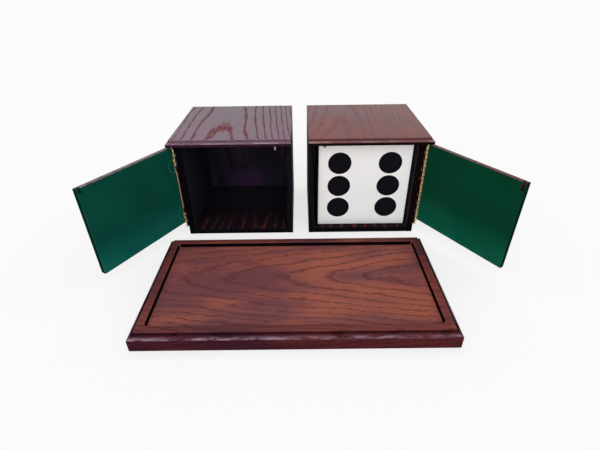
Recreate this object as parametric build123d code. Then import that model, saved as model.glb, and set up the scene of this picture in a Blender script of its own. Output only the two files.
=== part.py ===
from build123d import *
import os

# Magic dice box: two small hinged cabinets, a die and a moulded tray, in millimetres.
# The origin is on the table under the middle of the tray, +Z up, +Y away from the viewer.
# A cabinet is built in its own frame: x from its inner face outwards, y from its front edges
# backwards. The right cabinet keeps that frame and the left one is its mirror image.

# Die, with the room that a cabinet leaves around it
DIE_SIZE = 100.0
DIE_INNER_GAP = 4.3
DIE_OUTER_GAP = 2.7
DIE_FRONT_GAP = 8.0
DIE_BACK_GAP = 0.5
DIE_FLOOR_GAP = 0.1
DIE_HEADROOM = 2.9
DIE_EDGE = 0.5
PIP_RADIUS = 12.6
PIP_SPREAD = 27.2
PIP_DEPTH = 0.4
PIP_FIT = 0.05

# Cabinet carcass, built around the room for the die
SIDE_THICKNESS = 6.5
FLOOR_THICKNESS = 6.0
BACK_THICKNESS = 3.5
BACK_REBATE = 3.5
CABINET_WIDTH = 2 * SIDE_THICKNESS + DIE_INNER_GAP + DIE_SIZE + DIE_OUTER_GAP
CABINET_DEPTH = DIE_FRONT_GAP + DIE_SIZE + DIE_BACK_GAP + BACK_THICKNESS
SIDE_HEIGHT = FLOOR_THICKNESS + DIE_FLOOR_GAP + DIE_SIZE + DIE_HEADROOM

# Top board, which overhangs the front and the outer side
TOP_THICKNESS = 7.0
TOP_OVERHANG = 7.0

# Tray
TRAY_WIDTH = 270.0
TRAY_DEPTH = 139.0
TRAY_THICKNESS = 17.0
RECESS_DEPTH = 4.5
RECESS_CORNER_RADIUS = 3.0
RECESS_CLEARANCE_X = 3.25
RECESS_CLEARANCE_Y = 1.75

# Moulded edges: how far the arris stands in from the lip, how far the lip lies below the top,
# the upright step under the arris, the hollow of the cove and the radius under the lip
TOP_MOULD = {"reach": 3.0, "drop": 3.7, "step": 0.8, "hollow": 0.35, "under": 0.6}
TRAY_MOULD = {"reach": 4.9, "drop": 5.0, "step": 1.0, "hollow": 0.5, "under": 1.0}

# How the set stands on the table
CABINET_SPACING = 18.2
CABINETS_OFFSET_X = 5.8
TRAY_TO_CABINETS = 32.0
LEFT_DOOR_ANGLE = 121.0
RIGHT_DOOR_ANGLE = 122.5

# Doors: overlaid panels that swing over the tray
DOOR_THICKNESS = 4.5
DOOR_FREE_MARGIN = 13.7
DOOR_TOP_CLEARANCE = 1.5
DOOR_TRAY_CLEARANCE = 0.6
LINING_THICKNESS = 0.3
LINING_MARGIN = 0.3

# Piano hinges
LEAF_THICKNESS = 0.6
BARREL_RADIUS = 1.5
BARREL_GAP = 0.1
PIN_RADIUS = 0.7
PIN_CLEARANCE = 0.05
KNUCKLE_PITCH = 5.0
KNUCKLE_CLEARANCE = 0.2
LEAF_LIP_CLEARANCE = 0.1
HINGE_BOTTOM = 11.5
HINGE_TOP_MARGIN = 2.0
CARCASS_LEAF_WIDTH = 5.5
DOOR_LEAF_WIDTH = 7.0
DOOR_LEAF_END_MARGIN = 1.0

# Countersunk hinge screws
SCREW_RADIUS = 0.7
SCREW_HEAD_RADIUS = 1.4
SCREW_FIT = 0.05
SCREW_COUNT = 4
CARCASS_SCREW_LENGTH = 7.0
DOOR_SCREW_LENGTH = 3.4

# Die front flap on the left hinge
FLAP_THICKNESS = 0.6
FLAP_BARREL_RADIUS = 1.1
FLAP_END_KNUCKLES = 5
FLAP_EDGE_OFFSET = 2.0
FLAP_FREE_MARGIN = 0.3
FLAP_BOTTOM_MARGIN = 0.3
FLAP_TOP_MARGIN = 0.5
FLAP_BITE_RADIUS = 7.0
FLAP_BITE_OVERLAP = 0.5
FLAP_FACE_MARGIN = 12.0
FLAP_PIP_THICKNESS = 0.15

# Catch: a headed pin that drops from a bush in the top board
CATCH_FROM_FREE_EDGE = 2.6
CATCH_FRONT = 3.0
CATCH_RADIUS = 1.1
CATCH_HEAD_RADIUS = 1.7
CATCH_HEAD_HEIGHT = 0.8
CATCH_DIE_CLEARANCE = 0.2
CATCH_TRAVEL = 2.0
CATCH_RUNNING_CLEARANCE = 0.05
BUSH_RADIUS = 2.3
BUSH_SHOULDER = 1.0
BUSH_END_CLEARANCE = 0.2
NOTCH_CLEARANCE = 0.7
NOTCH_DEPTH_CLEARANCE = 0.8
NOTCH_BELOW_CATCH = 4.8
FLAP_NOTCH_CLEARANCE = 0.7

# Positions that follow from the sizes above
OUTER_FACE = CABINET_WIDTH
BACK_FRONT_FACE = CABINET_DEPTH - BACK_THICKNESS
HINGE_X = OUTER_FACE + BARREL_GAP + BARREL_RADIUS
HINGE_Y = LEAF_THICKNESS - BARREL_RADIUS
DOOR_INNER_FACE = HINGE_Y - BARREL_RADIUS + LEAF_THICKNESS
DOOR_OUTER_FACE = DOOR_INNER_FACE - DOOR_THICKNESS
LINING_FACE = DOOR_INNER_FACE + LINING_THICKNESS
DOOR_BOTTOM = TRAY_THICKNESS + DOOR_TRAY_CLEARANCE
DOOR_TOP = SIDE_HEIGHT - DOOR_TOP_CLEARANCE
HINGE_ROOM = SIDE_HEIGHT - HINGE_BOTTOM - HINGE_TOP_MARGIN
KNUCKLE_COUNT = int(HINGE_ROOM / KNUCKLE_PITCH)
HINGE_TOP = HINGE_BOTTOM + KNUCKLE_COUNT * KNUCKLE_PITCH
FLAP_FIRST_KNUCKLE = FLAP_END_KNUCKLES
FLAP_LAST_KNUCKLE = KNUCKLE_COUNT - 1 - FLAP_END_KNUCKLES
FLAP_BACK = HINGE_Y + FLAP_THICKNESS / 2
FLAP_FRONT = HINGE_Y - FLAP_THICKNESS / 2
FLAP_BOTTOM = DOOR_BOTTOM + FLAP_BOTTOM_MARGIN
FLAP_TOP = DOOR_TOP - FLAP_TOP_MARGIN
FLAP_FREE_EDGE = DOOR_FREE_MARGIN + FLAP_FREE_MARGIN
CATCH_X = DOOR_FREE_MARGIN + CATCH_FROM_FREE_EDGE
NOTCH_HALF = CATCH_RADIUS + NOTCH_CLEARANCE
NOTCH_SPAN = (CATCH_X - NOTCH_HALF, CATCH_X + NOTCH_HALF)
DIE_TOP = FLOOR_THICKNESS + DIE_FLOOR_GAP + DIE_SIZE
CATCH_END = DIE_TOP + CATCH_DIE_CLEARANCE
CATCH_HEAD_SEAT = SIDE_HEIGHT + BUSH_SHOULDER + CATCH_TRAVEL
CATCH_TOP = CATCH_HEAD_SEAT + CATCH_HEAD_HEIGHT
DIE_X = CABINET_WIDTH - SIDE_THICKNESS - DIE_OUTER_GAP - DIE_SIZE / 2
DIE_Y = BACK_FRONT_FACE - DIE_BACK_GAP - DIE_SIZE / 2
DIE_Z = DIE_TOP - DIE_SIZE / 2
CABINET_FRONT = TRAY_DEPTH / 2 + TRAY_TO_CABINETS

# The pips of each face as steps of PIP_SPREAD across and up the face
CORNERS = [(-1, -1), (-1, 1), (1, -1), (1, 1)]
PIP_STEPS = {
    1: [(0, 0)],
    2: [(-1, -1), (1, 1)],
    3: [(-1, -1), (0, 0), (1, 1)],
    4: CORNERS,
    5: CORNERS + [(0, 0)],
    6: CORNERS + [(-1, 0), (1, 0)],
}


def block(x_range, y_range, z_range):
    """A box between two limits on each axis."""
    low = [x_range[0], y_range[0], z_range[0]]
    high = [x_range[1], y_range[1], z_range[1]]
    size = [b - a for a, b in zip(low, high)]
    return Pos(*low) * Box(*size, align=(Align.MIN, Align.MIN, Align.MIN))


def upright(x, y, z_range, radius):
    """A cylinder along Z."""
    height = z_range[1] - z_range[0]
    cylinder = Cylinder(radius, height, align=(Align.CENTER, Align.CENTER, Align.MIN))
    return Pos(x, y, z_range[0]) * cylinder


def separate(solids):
    """Several like solids kept apart in one piece list."""
    return Compound(children=[solid for shape in solids for solid in shape.solids()])


# Moulded boards


def board_side(edge, inward, thickness, mould):
    """Section curves of one side of a board from its underside to its top, with both ends."""
    if mould is None:
        ends = (edge, 0), (edge, thickness)
        return [Line(*ends)], ends
    radius = mould["under"]
    corner = radius * (1 - 0.5**0.5)
    low = (edge + inward * radius, 0)
    face = (edge, radius)
    lip = (edge, thickness - mould["drop"])
    foot = (edge + inward * mould["reach"], thickness - mould["step"])
    arris = (foot[0], thickness)
    middle = Vector(*lip) + (Vector(*foot) - Vector(*lip)) / 2
    hollow = Vector(inward * (foot[1] - lip[1]), -abs(foot[0] - lip[0])).normalized()
    curves = [
        ThreePointArc(low, (edge + inward * corner, corner), face),
        Line(face, lip),
        ThreePointArc(lip, middle + hollow * mould["hollow"], foot),
        Line(foot, arris),
    ]
    return curves, (low, arris)


def board_section(span, thickness, near_mould, far_mould):
    """The cross-section of a board, with its own moulding or a square edge on each side."""
    near, near_ends = board_side(span[0], 1, thickness, near_mould)
    far, far_ends = board_side(span[1], -1, thickness, far_mould)
    closing = [Line(near_ends[0], far_ends[0]), Line(near_ends[1], far_ends[1])]
    return make_face([curve.edge() for curve in near + far + closing])


def moulded_board(x_span, y_span, thickness, x_moulds, y_moulds):
    """A board whose edge mouldings meet in mitres: the common part of two straight runs."""
    across = board_section(x_span, thickness, *x_moulds)
    along = board_section(y_span, thickness, *y_moulds)
    run_y = extrude(Plane.XZ.offset(-y_span[1]) * across, amount=y_span[1] - y_span[0])
    run_x = extrude(Plane.YZ.offset(x_span[0]) * along, amount=x_span[1] - x_span[0])
    return run_y & run_x


def tray_board():
    """The tray: one moulded board with a recess that takes the two cabinets side by side."""
    x_span = (-TRAY_WIDTH / 2, TRAY_WIDTH / 2)
    y_span = (-TRAY_DEPTH / 2, TRAY_DEPTH / 2)
    both = (TRAY_MOULD, TRAY_MOULD)
    board = moulded_board(x_span, y_span, TRAY_THICKNESS, both, both)
    width = 2 * (CABINET_WIDTH + RECESS_CLEARANCE_X)
    depth = CABINET_DEPTH + 2 * RECESS_CLEARANCE_Y
    outline = RectangleRounded(width, depth, RECESS_CORNER_RADIUS)
    floor = TRAY_THICKNESS - RECESS_DEPTH
    return board - extrude(Pos(0, 0, floor) * outline, amount=RECESS_DEPTH)


# Carcass boards


def top_board():
    """The top: moulded in front and on the outer side, square on the other two edges."""
    x_span = (0, CABINET_WIDTH + TOP_OVERHANG)
    y_span = (-TOP_OVERHANG, CABINET_DEPTH)
    board = moulded_board(x_span, y_span, TOP_THICKNESS, (None, TOP_MOULD), (TOP_MOULD, None))
    bore = upright(CATCH_X, -CATCH_FRONT, (SIDE_HEIGHT, bush_top()), BUSH_RADIUS)
    return Pos(0, 0, SIDE_HEIGHT) * board - bore


def floor_board():
    """The floor, held between the sides and stopped against the back."""
    x_range = (SIDE_THICKNESS, CABINET_WIDTH - SIDE_THICKNESS)
    return block(x_range, (0, BACK_FRONT_FACE), (0, FLOOR_THICKNESS))


def back_panel():
    """The back, let into a rebate in each side."""
    inset = SIDE_THICKNESS - BACK_REBATE
    x_range = (inset, CABINET_WIDTH - inset)
    return block(x_range, (BACK_FRONT_FACE, CABINET_DEPTH), (0, SIDE_HEIGHT))


def inner_side():
    """The side that stands next to the other cabinet."""
    side = block((0, SIDE_THICKNESS), (0, CABINET_DEPTH), (0, SIDE_HEIGHT))
    return side - back_panel()


def outer_side():
    """The side that carries the hinge, with the hinge leaf let in flush."""
    x_range = (CABINET_WIDTH - SIDE_THICKNESS, CABINET_WIDTH)
    side = block(x_range, (0, CABINET_DEPTH), (0, SIDE_HEIGHT))
    leaf = block((OUTER_FACE - CARCASS_LEAF_WIDTH, OUTER_FACE), (0, LEAF_THICKNESS), leaf_span())
    return side - back_panel() - leaf - separate(carcass_screws(SCREW_FIT))


# Hinge


def leaf_span():
    """The height of the carcass leaf, which is the whole hinge."""
    return HINGE_BOTTOM, HINGE_TOP


def door_leaf_span():
    """The height of the door leaf, which stays inside the door."""
    return DOOR_BOTTOM + DOOR_LEAF_END_MARGIN, min(HINGE_TOP, DOOR_TOP - DOOR_LEAF_END_MARGIN)


def knuckle_span(first, last):
    """The height of a barrel that fills the knuckle places from first to last."""
    low = HINGE_BOTTOM + first * KNUCKLE_PITCH + KNUCKLE_CLEARANCE / 2
    high = HINGE_BOTTOM + (last + 1) * KNUCKLE_PITCH - KNUCKLE_CLEARANCE / 2
    return low, high


def knuckles(places, leaf_y, tab_side):
    """Knuckles at some places, each with a tab that joins it to its leaf."""
    shape = Part()
    for place in places:
        span = knuckle_span(place, place)
        shape += upright(HINGE_X, HINGE_Y, span, BARREL_RADIUS)
        shape += block((tab_side, HINGE_X), leaf_y, span)
    return shape - upright(HINGE_X, HINGE_Y, leaf_span(), PIN_RADIUS + PIN_CLEARANCE)


def flap_places():
    """The knuckle places that the die front flap takes up."""
    return range(FLAP_FIRST_KNUCKLE, FLAP_LAST_KNUCKLE + 1)


def knuckle_places(kind, with_flap):
    """Places of the carcass knuckles, which are the even ones, or of the door knuckles."""
    parity = 0 if kind == "carcass" else 1
    taken = flap_places() if with_flap else []
    return [i for i in range(KNUCKLE_COUNT) if i % 2 == parity and i not in taken]


def leaf_lip(radius):
    """How far out a leaf runs on towards a roll of this radius that turns before it."""
    reach = radius + LEAF_LIP_CLEARANCE
    return HINGE_X - max(reach**2 - HINGE_Y**2, 0) ** 0.5


def carcass_leaf(with_flap):
    """The hinge leaf in the front edge of the outer side."""
    y_range = (0, LEAF_THICKNESS)
    inner = OUTER_FACE - CARCASS_LEAF_WIDTH
    plate = block((inner, leaf_lip(BARREL_RADIUS)), y_range, leaf_span())
    if with_flap:
        roll = knuckle_span(FLAP_FIRST_KNUCKLE, FLAP_LAST_KNUCKLE)
        plate += block((inner, leaf_lip(FLAP_BARREL_RADIUS)), y_range, roll)
    leaf = plate + knuckles(knuckle_places("carcass", with_flap), y_range, OUTER_FACE)
    return leaf - separate(carcass_screws(SCREW_FIT))


def door_leaf(with_flap):
    """The hinge leaf in the inner face of the door, drawn with the door shut."""
    y_range = (DOOR_INNER_FACE - LEAF_THICKNESS, DOOR_INNER_FACE)
    plate = block((OUTER_FACE - DOOR_LEAF_WIDTH, leaf_lip(BARREL_RADIUS)), y_range, door_leaf_span())
    leaf = plate + knuckles(knuckle_places("door", with_flap), y_range, OUTER_FACE)
    return leaf - separate(door_screws(SCREW_FIT))


def hinge_pin():
    """The wire that all the knuckles turn on."""
    return upright(HINGE_X, HINGE_Y, leaf_span(), PIN_RADIUS)


def screw(length, fit):
    """A countersunk screw with its head face at z 0, pointing down, grown by the fit."""
    radius = SCREW_RADIUS + fit
    head_height = SCREW_HEAD_RADIUS - SCREW_RADIUS
    top = (Align.CENTER, Align.CENTER, Align.MAX)
    head = Cone(radius, SCREW_HEAD_RADIUS + fit, head_height, align=top)
    return head + Cylinder(radius, length + fit, align=top)


def screw_heights(span):
    """Even heights along a leaf, half a space in from its ends."""
    space = (span[1] - span[0]) / SCREW_COUNT
    return [span[0] + (i + 0.5) * space for i in range(SCREW_COUNT)]


def carcass_screws(fit=0.0):
    """The screws through the carcass leaf, heads to the front."""
    x = OUTER_FACE - CARCASS_LEAF_WIDTH / 2
    one = Rot(X=90) * screw(CARCASS_SCREW_LENGTH, fit)
    return [Pos(x, 0, z) * one for z in screw_heights(leaf_span())]


def door_screws(fit=0.0):
    """The screws through the door leaf, heads to the inside."""
    x = OUTER_FACE - DOOR_LEAF_WIDTH / 2
    one = Rot(X=-90) * screw(DOOR_SCREW_LENGTH, fit)
    return [Pos(x, DOOR_INNER_FACE, z) * one for z in screw_heights(door_leaf_span())]


# Doors, drawn shut


def door_notch():
    """The room that the catch pin needs in the door's corner, open to the inside and at the top."""
    front = -CATCH_FRONT - CATCH_RADIUS - NOTCH_DEPTH_CLEARANCE
    bottom = CATCH_END - CATCH_TRAVEL - NOTCH_BELOW_CATCH
    return block(NOTCH_SPAN, (front, LINING_FACE), (bottom, DOOR_TOP))


def door_panel():
    """The door board, with the hinge leaf let in and the notch for the catch."""
    y_range = (DOOR_OUTER_FACE, DOOR_INNER_FACE)
    panel = block((DOOR_FREE_MARGIN, OUTER_FACE), y_range, (DOOR_BOTTOM, DOOR_TOP))
    leaf_y = (DOOR_INNER_FACE - LEAF_THICKNESS, DOOR_INNER_FACE)
    leaf = block((OUTER_FACE - DOOR_LEAF_WIDTH, OUTER_FACE), leaf_y, door_leaf_span())
    return panel - leaf - separate(door_screws(SCREW_FIT)) - door_notch()


def door_lining():
    """The green sheet that covers the inner face of the door and its hinge leaf."""
    x_range = (DOOR_FREE_MARGIN + LINING_MARGIN, OUTER_FACE - LINING_MARGIN)
    z_range = (DOOR_BOTTOM + LINING_MARGIN, DOOR_TOP - LINING_MARGIN)
    return block(x_range, (DOOR_INNER_FACE, LINING_FACE), z_range) - door_notch()


# Die front flap, drawn shut


def die_flap():
    """A sheet metal flap rolled round the hinge pin, with a half-moon bite at each end of the roll."""
    edge = HINGE_X - FLAP_EDGE_OFFSET
    y_range = (FLAP_FRONT, FLAP_BACK)
    roll = knuckle_span(FLAP_FIRST_KNUCKLE, FLAP_LAST_KNUCKLE)
    plate = block((FLAP_FREE_EDGE, edge), y_range, (FLAP_BOTTOM, FLAP_TOP))
    plate += block((edge, HINGE_X), y_range, roll)
    plate += upright(HINGE_X, HINGE_Y, roll, FLAP_BARREL_RADIUS)
    plate -= upright(HINGE_X, HINGE_Y, roll, PIN_RADIUS + PIN_CLEARANCE)
    reach = FLAP_BITE_RADIUS - FLAP_BITE_OVERLAP
    for height in (roll[0] - reach, roll[1] + reach):
        bite = Rot(X=90) * Cylinder(FLAP_BITE_RADIUS, 2 * FLAP_THICKNESS)
        plate -= Pos(edge, HINGE_Y, height) * bite & block(
            (0, edge), (HINGE_Y - BARREL_RADIUS, HINGE_Y + BARREL_RADIUS), (0, SIDE_HEIGHT)
        )
    notch_bottom = CATCH_END - CATCH_TRAVEL - FLAP_NOTCH_CLEARANCE
    return plate - block(NOTCH_SPAN, y_range, (notch_bottom, FLAP_TOP))


def flap_pips():
    """Six flat spots on the front of the flap, which pass for the front of the die."""
    x = (FLAP_FREE_EDGE + OUTER_FACE - FLAP_FACE_MARGIN) / 2
    z = (FLAP_BOTTOM + FLAP_TOP) / 2
    spots = []
    for across, up in PIP_STEPS[6]:
        spot = Cylinder(PIP_RADIUS, FLAP_PIP_THICKNESS, align=(Align.CENTER, Align.CENTER, Align.MIN))
        place = Pos(x + across * PIP_SPREAD, FLAP_FRONT, z + up * PIP_SPREAD)
        spots.append(place * Rot(X=90) * spot)
    return separate(spots)


# Catch


def bush_top():
    """The top of the catch bush and of its bore in the top board."""
    return CATCH_TOP + BUSH_END_CLEARANCE


def catch_bush():
    """The bush, with a shoulder that the pin's head lands on."""
    place = (CATCH_X, -CATCH_FRONT)
    shoulder = SIDE_HEIGHT + BUSH_SHOULDER
    bush = upright(*place, (SIDE_HEIGHT, bush_top()), BUSH_RADIUS)
    bush -= upright(*place, (SIDE_HEIGHT, shoulder), CATCH_RADIUS + CATCH_RUNNING_CLEARANCE)
    return bush - upright(*place, (shoulder, bush_top()), CATCH_HEAD_RADIUS + CATCH_RUNNING_CLEARANCE)


def catch_pin(drop):
    """The catch pin, drawn below its raised place by the drop."""
    place = (CATCH_X, -CATCH_FRONT)
    pin = upright(*place, (CATCH_END, CATCH_HEAD_SEAT), CATCH_RADIUS)
    pin += upright(*place, (CATCH_HEAD_SEAT, CATCH_TOP), CATCH_HEAD_RADIUS)
    return Pos(0, 0, -drop) * pin


# Die


def die_faces():
    """Each face's number and its plane, with the face's middle as origin."""
    half = DIE_SIZE / 2
    return {
        6: Plane(origin=(0, -half, 0), x_dir=(1, 0, 0), z_dir=(0, -1, 0)),
        1: Plane(origin=(0, half, 0), x_dir=(-1, 0, 0), z_dir=(0, 1, 0)),
        5: Plane(origin=(-half, 0, 0), x_dir=(0, -1, 0), z_dir=(-1, 0, 0)),
        2: Plane(origin=(half, 0, 0), x_dir=(0, 1, 0), z_dir=(1, 0, 0)),
        3: Plane(origin=(0, 0, half), x_dir=(1, 0, 0), z_dir=(0, 0, 1)),
        4: Plane(origin=(0, 0, -half), x_dir=(1, 0, 0), z_dir=(0, 0, -1)),
    }


def pip_solids(radius):
    """A flat spot under each pip place of all the faces, flush with the face."""
    spots = []
    for number, plane in die_faces().items():
        for across, up in PIP_STEPS[number]:
            spot = Cylinder(radius, PIP_DEPTH, align=(Align.CENTER, Align.CENTER, Align.MAX))
            spots.append(plane * Pos(across * PIP_SPREAD, up * PIP_SPREAD, 0) * spot)
    return [Pos(DIE_X, DIE_Y, DIE_Z) * spot for spot in spots]


def die_body():
    """The cube, with a shallow round sinking for each pip."""
    cube = Pos(DIE_X, DIE_Y, DIE_Z) * Box(DIE_SIZE, DIE_SIZE, DIE_SIZE)
    return chamfer(cube.edges(), DIE_EDGE) - separate(pip_solids(PIP_RADIUS))


def die_pips():
    """The flat black spots let into the cube."""
    return separate(pip_solids(PIP_RADIUS - PIP_FIT))


# The set on the table


def opened(shape, angle):
    """A shut door, or what swings with it, turned about the hinge pin."""
    return shape.rotate(Axis((HINGE_X, HINGE_Y, 0), (0, 0, 1)), angle)


def placed(shape, side):
    """A piece in its cabinet's frame brought to the right or, mirrored, to the left cabinet."""
    shape = Pos(CABINET_SPACING / 2, 0, 0) * shape
    if side == "left":
        shape = mirror(shape, Plane.YZ)
    return Pos(CABINETS_OFFSET_X, CABINET_FRONT, 0) * shape


def cabinet_pieces(side, angle, with_flap):
    """The named pieces of one cabinet with its door open."""
    fixed = {
        "top_board": top_board(),
        "floor_board": floor_board(),
        "outer_side": outer_side(),
        "inner_side": inner_side(),
        "back_panel": back_panel(),
        "carcass_leaf": carcass_leaf(with_flap),
        "carcass_leaf_screws": separate(carcass_screws()),
        "hinge_pin": hinge_pin(),
        "catch_bush": catch_bush(),
        "catch_pin": catch_pin(CATCH_TRAVEL if with_flap else 0),
    }
    swinging = {
        "door_panel": door_panel(),
        "door_lining": door_lining(),
        "door_leaf": door_leaf(with_flap),
        "door_leaf_screws": separate(door_screws()),
    }
    if with_flap:
        swinging["die_flap"] = die_flap()
        swinging["die_flap_pips"] = flap_pips()
    pieces = fixed | {name: opened(shape, angle) for name, shape in swinging.items()}
    return {f"{side}_{name}": placed(shape, side) for name, shape in pieces.items()}


def all_pieces():
    """Every named piece of the set."""
    pieces = {"tray": tray_board()}
    pieces |= cabinet_pieces("left", LEFT_DOOR_ANGLE, with_flap=True)
    pieces |= cabinet_pieces("right", RIGHT_DOOR_ANGLE, with_flap=False)
    pieces["die_body"] = placed(die_body(), "right")
    pieces["die_pips"] = placed(die_pips(), "right")
    return pieces


def main():
    """Write one STEP file for each piece."""
    os.makedirs("parts", exist_ok=True)
    for name, shape in all_pieces().items():
        export_step(shape, f"parts/{name}.step")
        print(name, round(shape.volume, 1))


main()
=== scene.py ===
import logging
import math
from dataclasses import dataclass, replace
from enum import Enum
from typing import Callable, Optional, Sequence, Union

import bmesh
import bpy
import numpy as np
from mathutils import Matrix, Vector


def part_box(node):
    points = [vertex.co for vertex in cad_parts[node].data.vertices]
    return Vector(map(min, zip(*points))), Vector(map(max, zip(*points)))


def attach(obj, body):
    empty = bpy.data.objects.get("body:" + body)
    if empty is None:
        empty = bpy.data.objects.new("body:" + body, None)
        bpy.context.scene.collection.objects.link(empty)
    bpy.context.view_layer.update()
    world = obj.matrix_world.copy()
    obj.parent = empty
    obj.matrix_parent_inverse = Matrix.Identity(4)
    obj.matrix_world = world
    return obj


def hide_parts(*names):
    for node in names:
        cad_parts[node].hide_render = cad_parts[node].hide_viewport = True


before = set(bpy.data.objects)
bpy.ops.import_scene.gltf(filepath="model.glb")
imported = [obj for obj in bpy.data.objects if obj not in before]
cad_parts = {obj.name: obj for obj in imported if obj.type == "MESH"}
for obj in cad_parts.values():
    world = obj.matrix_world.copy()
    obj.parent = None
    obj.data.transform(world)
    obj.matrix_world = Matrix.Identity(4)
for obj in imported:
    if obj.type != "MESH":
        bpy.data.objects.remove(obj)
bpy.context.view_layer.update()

LOG = logging.getLogger("magic_dice_box")

Colour = tuple[float, float, float]
Point = tuple[float, float, float]
Plane = tuple[Point, Point]
Span = tuple[float, float]
Socket = bpy.types.NodeSocket
Value = Union[float, int, tuple, Socket]
Pick = Callable[[np.ndarray, np.ndarray], np.ndarray]
UP = Vector((0.0, 0.0, 1.0))

HINGE_X = 0.1216  # local x of the axis of a hinge, in metres
HINGE_Y = 0.1006  # world Y of that axis
LEFT_OPENING = 121.0  # how far each door stands open, in degrees
RIGHT_OPENING = 122.5
TOP_MOULD = 0.003  # how far the moulding reaches into a top board
FAR = 1.0  # past the edge of any board
WELD = 2e-6  # points of a CAD mesh nearer than this are one
FLAT = math.radians(0.5)  # faces that meet at less than this are one
SHARP = math.radians(35.0)  # edges that turn by more than this are eased
CREASE = math.radians(32.0)  # edges that turn by more than this are shaded as creases
SENSOR = 36.0  # width of the camera's sensor, in millimetres


class Grain(Enum):
    """The axis that the grain of a board runs along."""

    X = 0
    Y = 1
    Z = 2


class Side(Enum):
    """The two cabinets. A local x of a cabinet runs outwards from its inner face."""

    LEFT = "left"
    RIGHT = "right"

    @property
    def outward(self) -> float:
        """The sign of world X that points away from the other cabinet."""
        return -1.0 if self is Side.LEFT else 1.0

    @property
    def inner_face(self) -> float:
        """World X of the cabinet's inner face, in metres."""
        return -0.0033 if self is Side.LEFT else 0.0149

    def x(self, local: float) -> float:
        """World X of a local x, both in metres."""
        return self.inner_face + self.outward * local

    def swing(self, opening: float) -> tuple[Vector, Vector, Vector]:
        """How a door stands.

        Args:
            opening: The angle that it stands open, in degrees.

        Returns:
            The foot of its axis, and the directions from there to its free edge and of its lined side.
        """
        turn = self.outward * math.radians(opening)
        along = Vector((-self.outward * math.cos(turn), -self.outward * math.sin(turn), 0.0))
        inwards = Vector((-math.sin(turn), math.cos(turn), 0.0))
        return Vector((self.x(HINGE_X), HINGE_Y, 0.0)), along, inwards


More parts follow.
